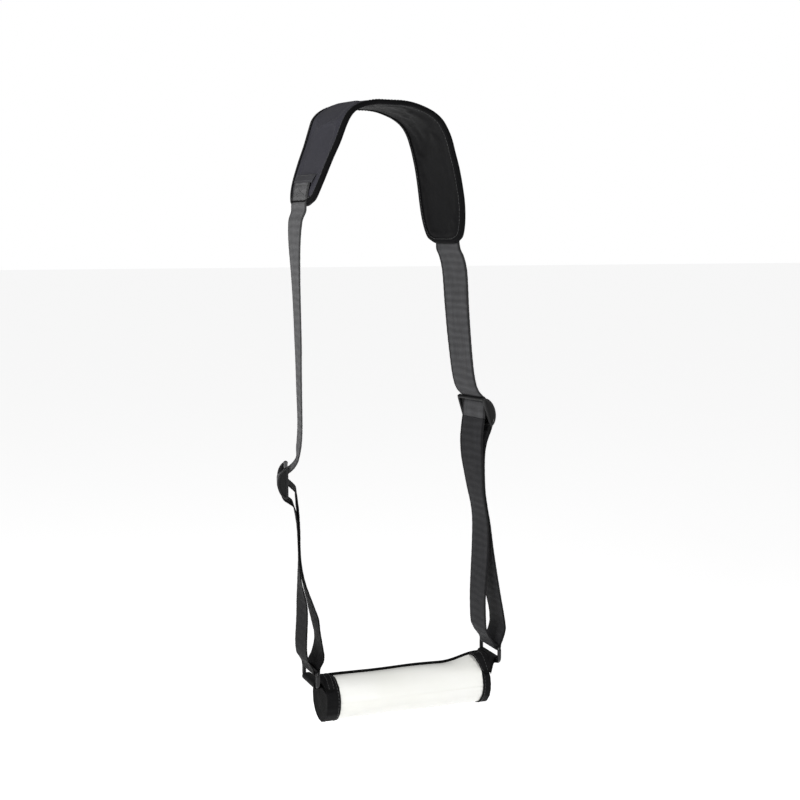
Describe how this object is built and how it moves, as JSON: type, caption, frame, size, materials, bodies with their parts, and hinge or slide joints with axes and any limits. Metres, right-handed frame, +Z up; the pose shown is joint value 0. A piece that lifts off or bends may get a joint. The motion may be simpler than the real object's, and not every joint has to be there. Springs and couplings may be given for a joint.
{
  "type": "shoulder pulley",
  "caption": "Padded shoulder sling: an arched foam pad carries a soft roller on two webbing loops whose length is set by sliding glides.",
  "frame": {"origin": "centre of the flat underside of the pad's crown, where the sling rests on what carries it", "axes": "+X along the roller, +Y across the pad, +Z up"},
  "size_m": [0.3048, 0.1151, 0.7551],
  "materials": {
    "pad_cover": "satin nylon",
    "pad_lining": "smooth lining",
    "binding": "woven tape",
    "foam": "open cell foam",
    "webbing": "woven nylon",
    "glide": "moulded acetal",
    "ring": "black coated steel wire",
    "vinyl": "glossy white vinyl",
    "cap": "black nylon",
    "core": "extruded tube"
  },
  "bodies": {
    "shoulder_pad": {"pad_outer_cover": "pad_cover", "pad_foam": "foam", "pad_lining": "pad_lining", "pad_edge_binding": "binding", "left_strap_flap": "pad_cover", "right_strap_flap": "pad_cover", "left_upper_strap": "webbing", "right_upper_strap": "webbing", "left_running_strap": "webbing", "right_running_strap": "webbing"},
    "left_glide": {"left_glide_frame": "glide", "left_sewn_end": "webbing", "left_loop_outer_layer": "webbing", "left_loop_inner_layer": "webbing"},
    "left_bight": {"left_ring_bight": "webbing"},
    "left_link": {"left_ring": "ring"},
    "roller": {"roller_cover": "vinyl", "roller_foam": "foam", "roller_core_tube": "core", "roller_piping": "binding", "left_end_cap": "cap", "right_end_cap": "cap", "left_tab": "webbing", "right_tab": "webbing"},
    "right_glide": {"right_glide_frame": "glide", "right_sewn_end": "webbing", "right_loop_outer_layer": "webbing", "right_loop_inner_layer": "webbing"},
    "right_bight": {"right_ring_bight": "webbing"},
    "right_link": {"right_ring": "ring"}
  },
  "joints": [
    {"name": "left_glide_slide", "type": "slide", "parent": "shoulder_pad", "child": "left_glide", "axis": [0, 0, 1], "range_m": [-0.1, 0.1], "deforming": ["left_running_strap"]},
    {"name": "left_bight_slide", "type": "slide", "parent": "left_glide", "child": "left_bight", "axis": [0, 0, 1], "range_m": [-0.05, 0.05], "deforming": ["left_loop_outer_layer", "left_loop_inner_layer"]},
    {"name": "left_ring_swing", "type": "hinge", "parent": "left_bight", "child": "left_link", "pos_m": [-0.0818, 0, -0.6782], "axis": [0.0349, 0.9994, 0], "range_deg": [-40, 40]},
    {"name": "roller_level", "type": "hinge", "parent": "left_link", "child": "roller", "pos_m": [-0.0818, 0, -0.6947], "axis": [0.0349, 0.9994, 0], "range_deg": [-40, 40]},
    {"name": "right_glide_slide", "type": "slide", "parent": "shoulder_pad", "child": "right_glide", "axis": [0, 0, 1], "range_m": [-0.1, 0.1], "deforming": ["right_running_strap"]},
    {"name": "right_bight_slide", "type": "slide", "parent": "right_glide", "child": "right_bight", "axis": [0, 0, 1], "range_m": [-0.05, 0.05], "deforming": ["right_loop_outer_layer", "right_loop_inner_layer"]},
    {"name": "right_ring_swing", "type": "hinge", "parent": "right_bight", "child": "right_link", "pos_m": [0.1618, 0, -0.6716], "axis": [0.0349, 0.9994, 0], "range_deg": [-40, 40]}
  ],
  "couplings": [
    {"joint": "left_bight_slide", "follows": "left_glide_slide", "ratio": -0.5},
    {"joint": "right_glide_slide", "follows": "left_glide_slide", "ratio": 1},
    {"joint": "right_bight_slide", "follows": "left_glide_slide", "ratio": -0.5},
    {"joint": "roller_level", "follows": "left_ring_swing", "ratio": -1},
    {"joint": "right_ring_swing", "follows": "left_ring_swing", "ratio": 1}
  ]
}
